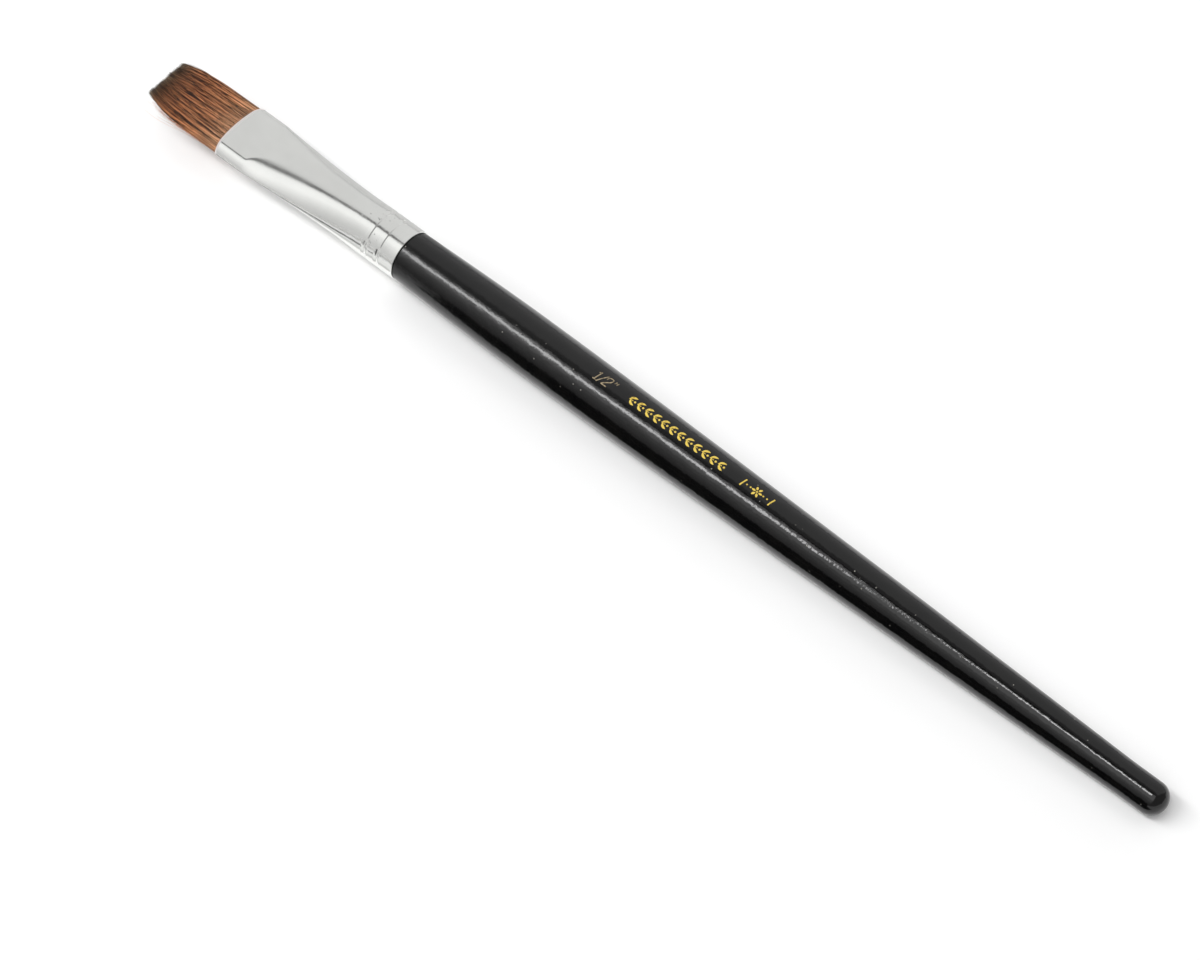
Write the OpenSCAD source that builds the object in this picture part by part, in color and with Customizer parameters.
// Flat paint brush, half an inch wide, lying on a table.
// The brush is drawn along its own axis, with 0 at the ferrule's mouth, the hair towards -X and the
// butt of the handle towards +X, and lay_down() then rests it on its belly and its butt.

/* [Handle] */
// Length of handle that shows behind the ferrule
handle_len = 173.5; // [120:0.5:220]
// Thickest diameter of the handle, its belly
belly_d = 11.1; // [10:0.1:14]
// Distance from the ferrule's end to the belly
belly_at = 30; // [15:1:50]
// Diameter of the straight stretch in front of the rounded butt
butt_d = 6.3; // [4.5:0.1:8]
// Length of that straight stretch
butt_straight = 6; // [4:0.5:15]
// Length of the rounded end of the butt
butt_dome = 3; // [1.5:0.1:4]
// Length of the bare wooden tenon inside the ferrule
tenon_len = 15; // [12:0.5:18]
// Diameter of the tenon's pointed end
tenon_tip_d = 5; // [3:0.1:6]

/* [Ferrule] */
// Length of the metal ferrule from its mouth to its collar end
ferrule_len = 44; // [40:0.5:60]
// Outer width of the flattened mouth
mouth_w = 13.6; // [11:0.1:20]
// Outer thickness of the flattened mouth
mouth_t = 3.4; // [2.8:0.1:4.5]
// Width of the flat face on the mouth's top and bottom
mouth_flat_w = 9.2; // [5:0.1:9.5]
// Length of the parallel land behind the mouth
land_len = 6.7; // [4:0.1:9]
// Outer diameter of the round collar
collar_d = 9.9; // [9:0.1:12]
// Length of the round collar
collar_len = 9; // [8:0.1:12]
// Wall of the ferrule's tube
ferrule_wall = 0.4; // [0.3:0.05:0.5]
// Distance from the collar end to the first crimp
crimp_at = 3.9; // [1.5:0.1:4.5]
// Distance between the two crimps
crimp_pitch = 3.1; // [1.5:0.1:3.4]
// Width of a crimp
crimp_w = 1; // [0.6:0.1:1.4]
// Depth of a crimp
crimp_depth = 0.2; // [0.1:0.05:0.3]

/* [Hair] */
// Length of hair that shows in front of the mouth
hair_out = 18.8; // [12:0.2:30]
// Width of the hair at its cut tip
tip_w = 9.4; // [6:0.1:12]
// Thickness of the hair at its cut tip
tip_t = 1; // [0.6:0.1:1.8]
// Length over which the roots gather from the land into the bound knot
neck_len = 3; // [2:0.1:4]
// Thickness of the binding thread
thread_d = 0.3; // [0.2:0.05:0.4]
// Number of turns of the binding thread
thread_turns = 5; // [3:1:7]
// Clear length of bound root on each side of the thread
tie_clear = 0.8; // [0.5:0.1:2]
// Length of the resin behind the roots
plug_len = 4; // [2:0.5:6]
// How far the root ends stand in the resin
plug_lap = 2; // [1:0.5:2.5]

/* [Fits] */
// Gap between the hair and the inside of the ferrule
hair_gap = 0.05; // [0.03:0.01:0.1]
// Radial gap between the tenon and the collar's bore
tenon_gap = 0.05; // [0.02:0.01:0.1]
// How far the handle's shoulder lies below the collar's outside
shoulder_step = 0.1; // [0:0.05:0.2]
// Clear gap between the ferrule's mouth and the bending hair
flex_gap = 0.3; // [0.2:0.05:0.5]

/* [Hidden] */
$fn = 96;

// Handle: radii and stations on the brush's axis
bore_r = collar_d / 2 - ferrule_wall;
shoulder_r = collar_d / 2 - shoulder_step;
taper_start = ferrule_len + belly_at;
dome_start = ferrule_len + handle_len - butt_dome;
taper_end = dome_start - butt_straight;
taper_power = 1.4;
turning_steps = 28;

// Stations and points of the lofted stretches
loft_steps = 14;
arc_steps = 10;
width_power = 1.4;
flat_fade = 3;
smallest_flat = 0.2;
seam = 0.04;
seam_lap = 0.4;

// Free hair
hair_w = mouth_w - 2 * (ferrule_wall + hair_gap);
hair_t = mouth_t - 2 * (ferrule_wall + hair_gap);
pivot_at = -flex_gap - hair_t / 2;
bow_power = 4;

// Bound roots: the knot with its thread fits inside the ferrule from the first turn to the last.
// Its rounded sides start where the cavity's own side has curved over knot_share of its width.
thread_pitch = 0.9 * thread_d;
tie_from = land_len + neck_len + tie_clear;
tie_to = tie_from + (thread_turns - 1) * thread_pitch + thread_d;
root_len = tie_to + tie_clear + plug_lap;
knot_share = 0.3;
knot_flat = flat_w(tie_to) + knot_share * (cavity_w(tie_to) - flat_w(tie_to));
knot_t = sqrt(1 - knot_share * knot_share) * cavity_t(tie_from) - 2 * (thread_d + hair_gap);
knot_w = knot_flat + knot_t;

// Share of the way from the land to the collar at x
function along(x) = max(0, min(1, (x - land_len) / (ferrule_len - collar_len - land_len)));

// Outer width, thickness and flat of the ferrule at x
function outer_w(x) = collar_d + (mouth_w - collar_d) * pow(1 - along(x), width_power);
function outer_t(x) = mouth_t + (collar_d - mouth_t) * along(x);
function flat_w(x) = max(smallest_flat,
    mouth_flat_w * (1 - along(x)) * flat_fade / (flat_fade + max(0, x - land_len)));
function cavity_w(x) = outer_w(x) - 2 * ferrule_wall;
function cavity_t(x) = outer_t(x) - 2 * ferrule_wall;

// One closed band of points across the axis at x: width w, thickness t, and flats of width f
// that elliptical arcs join at both sides
function band(x, w, t, f) =
    [for (side = [0 : 3], i = [0 : arc_steps])
        let (angle = 90 * (side % 2 == 0 ? i : arc_steps - i) / arc_steps,
             sy = side < 2 ? 1 : -1,
             sz = side == 0 || side == 3 ? 1 : -1)
        if (!(side == 1 && i == 0) && !(side == 3 && i == 0))
            [x, sy * (f / 2 + (w - f) / 2 * sin(angle)), sz * t / 2 * cos(angle)]];

// The ferrule's band at x, drawn in by inset on every side
function ring(x, inset) = band(x, outer_w(x) - 2 * inset, outer_t(x) - 2 * inset, flat_w(x));

// How deep the crimps press the collar at x
function crimp_dip(x) =
    let (first = ferrule_len - crimp_at, near = min(abs(x - first), abs(x - first + crimp_pitch)))
    near < crimp_w / 2 ? crimp_depth * pow(cos(180 * near / crimp_w), 2) : 0;

// Stations along the two crimps, from the mouth's side to the collar end
crimp_stations = [for (c = [1, 0], i = [-4 : 4])
    ferrule_len - crimp_at - c * crimp_pitch + i * crimp_w / 8];

// Outline of the handle's visible turning, as [x, radius]
swell = [for (i = [0 : 8])
    [ferrule_len + i / 8 * belly_at, shoulder_r + (belly_d / 2 - shoulder_r) * sin(90 * i / 8)]];
taper = [for (i = [1 : turning_steps])
    let (u = i / turning_steps)
    [taper_start + u * (taper_end - taper_start),
     belly_d / 2 - (belly_d - butt_d) / 2 * pow(u, taper_power)]];
dome = [for (i = [0 : 10])
    [dome_start + butt_dome * sin(9 * i), i == 10 ? 0 : butt_d / 2 * cos(9 * i)]];

// The lying tilt: the steepest line from the butt's lowest edge over the belly
rest_line = [for (p = concat(swell, taper))
    if (p[0] < dome_start - butt_straight / 2)
        atan2(p[1] - butt_d / 2, dome_start - p[0])];
tilt = max(rest_line);
lift = dome_start * sin(tilt) + butt_d / 2 * cos(tilt);
front_x = -hair_out * cos(tilt) - tip_t / 2 * sin(tilt);
back_x = (ferrule_len + handle_len) * cos(tilt);

// Rests the brush on z = 0, with the origin under the middle of its length
module lay_down() {
    translate([-(front_x + back_x) / 2, 0, lift]) rotate([0, tilt, 0]) children();
}

// Turns an outline of [x, radius] points about the brush's axis
module turned(points) {
    rotate([0, 90, 0]) rotate_extrude() polygon([for (p = points) [p[1], p[0]]]);
}

// The two triangles of a patch between points a, b of one band and c, d of the next
function patch(a, b, c, d) = [[a, b, c], [b, d, c]];

// A closed solid through a list of bands, from the hair's side to the butt's
module skin(bands) {
    n = len(bands[0]);
    last = len(bands) - 1;
    sides = [for (k = [0 : last - 1], i = [0 : n - 1])
        let (j = (i + 1) % n)
        each patch(k * n + i, k * n + j, (k + 1) * n + i, (k + 1) * n + j)];
    ends = [[for (i = [n - 1 : -1 : 0]) i], [for (i = [0 : n - 1]) last * n + i]];
    polyhedron([for (b = bands) each b], concat(sides, ends), convexity = 4);
}

// The same with a hole along it: inner bands stand in the outer ones, station by station
module tube_skin(outer, inner) {
    n = len(outer[0]);
    last = len(outer) - 1;
    shift = len(outer) * n;
    walls = [for (k = [0 : last - 1], i = [0 : n - 1])
        let (j = (i + 1) % n, p = k * n + i, q = k * n + j)
        each concat(patch(p, q, p + n, q + n),
                    patch(shift + q, shift + p, shift + q + n, shift + p + n))];
    ends = [for (i = [0 : n - 1])
        let (j = (i + 1) % n, back = last * n)
        each concat(patch(shift + i, shift + j, i, j),
                    patch(shift + back + j, shift + back + i, back + j, back + i))];
    polyhedron([for (b = concat(outer, inner)) each b], concat(walls, ends), convexity = 6);
}

module handle() {
    tip_r = tenon_tip_d / 2;
    grip_r = bore_r - tenon_gap;
    straight_to = ferrule_len - collar_len;
    tenon = concat(
        [[ferrule_len - tenon_len, 0], [ferrule_len - tenon_len, tip_r], [straight_to, grip_r]],
        [for (x = crimp_stations) [x, grip_r - crimp_dip(x)]],
        [[ferrule_len, grip_r]]);
    color("#161616") turned(concat(tenon, swell, taper, dome));
}

// One tube: the pressed stretch runs a seam's depth inside the turned collar's wall
module ferrule() {
    loft_end = ferrule_len - collar_len;
    outer = [for (x = crimp_stations) [x, collar_d / 2 - crimp_dip(x)]];
    inner = [for (i = [len(crimp_stations) - 1 : -1 : 0])
        let (x = crimp_stations[i]) [x, bore_r - crimp_dip(x)]];
    pressed = [0, for (i = [0 : loft_steps - 1])
        land_len + i / loft_steps * (loft_end - land_len)];
    lapped = [loft_end, loft_end + seam_lap];
    color("#c8c8c6") {
        tube_skin(
            [for (x = pressed) ring(x, 0), for (x = lapped) ring(x, seam)],
            [for (x = pressed) ring(x, ferrule_wall), for (x = lapped) ring(x, ferrule_wall - seam)]);
        turned(concat(
            [[loft_end, collar_d / 2]], outer, [[ferrule_len, collar_d / 2]],
            [[ferrule_len, bore_r]], inner, [[loft_end, bore_r]]));
    }
}

// Cured resin behind and around the root ends
module resin_plug() {
    from = root_len - plug_lap;
    to = root_len + plug_len;
    color("#a8741f") difference() {
        skin([for (i = [0 : 4]) ring(from + i / 4 * (to - from), ferrule_wall + hair_gap)]);
        skin([knot_band(from - 1), knot_band(root_len)]);
    }
}

// Band round the bound knot of the roots at x
function knot_band(x) = band(x, knot_w, knot_t, knot_flat);

// Roots of the hair, from the mouth back to the bound knot
module hair_root() {
    color("#5a2f1c") skin([
        band(0, hair_w, hair_t, mouth_flat_w), band(land_len, hair_w, hair_t, mouth_flat_w),
        knot_band(land_len + neck_len), knot_band(root_len)]);
}

// Turns of thread side by side round the knot: two half rings joined by straight runs
module tie_thread() {
    straight = knot_flat / 2;
    reach = knot_t / 2 + thread_d / 2;
    turns_w = thread_turns * thread_pitch + thread_d;
    color("#d9cfae") translate([tie_from + thread_d / 2, 0, 0]) {
        for (s = [-1, 1])
            intersection() {
                translate([0, s * straight, 0]) rotate([0, 90, 0]) rotate_extrude()
                    for (i = [0 : thread_turns - 1])
                        translate([reach, i * thread_pitch]) circle(d = thread_d, $fn = 24);
                translate([-turns_w, s > 0 ? straight : -straight - 2 * reach, -2 * reach])
                    cube([2 * turns_w, 2 * reach, 4 * reach]);
            }
        translate([0, straight, 0]) rotate([90, 0, 0]) linear_extrude(2 * straight)
            for (s = [-1, 1], i = [0 : thread_turns - 1])
                translate([i * thread_pitch, s * reach]) circle(d = thread_d, $fn = 24);
    }
}

// The free hair: a wedge that narrows to the cut tip and turns about pivot_at
module tuft() {
    color("#6b3a22") intersection() {
        linear_extrude(2 * hair_t, center = true) polygon(concat(tuft_side(1), tuft_side(-1)));
        rotate([90, 0, 0]) linear_extrude(2 * hair_w, center = true) {
            polygon([[pivot_at, hair_t / 2], [-hair_out, tip_t / 2],
                     [-hair_out, -tip_t / 2], [pivot_at, -hair_t / 2]]);
            translate([pivot_at, 0]) circle(d = hair_t);
        }
    }
}

// One bowed side of the tuft as [x, y], from the mouth to the tip or back
function tuft_side(s) = [for (i = [0 : 12])
    let (u = (s > 0 ? i : 12 - i) / 12)
    [-hair_out * u, s * (hair_w / 2 - (hair_w - tip_w) / 2 * pow(u, bow_power))]];

lay_down() handle();
lay_down() ferrule();
lay_down() resin_plug();
lay_down() hair_root();
lay_down() tie_thread();
lay_down() tuft();
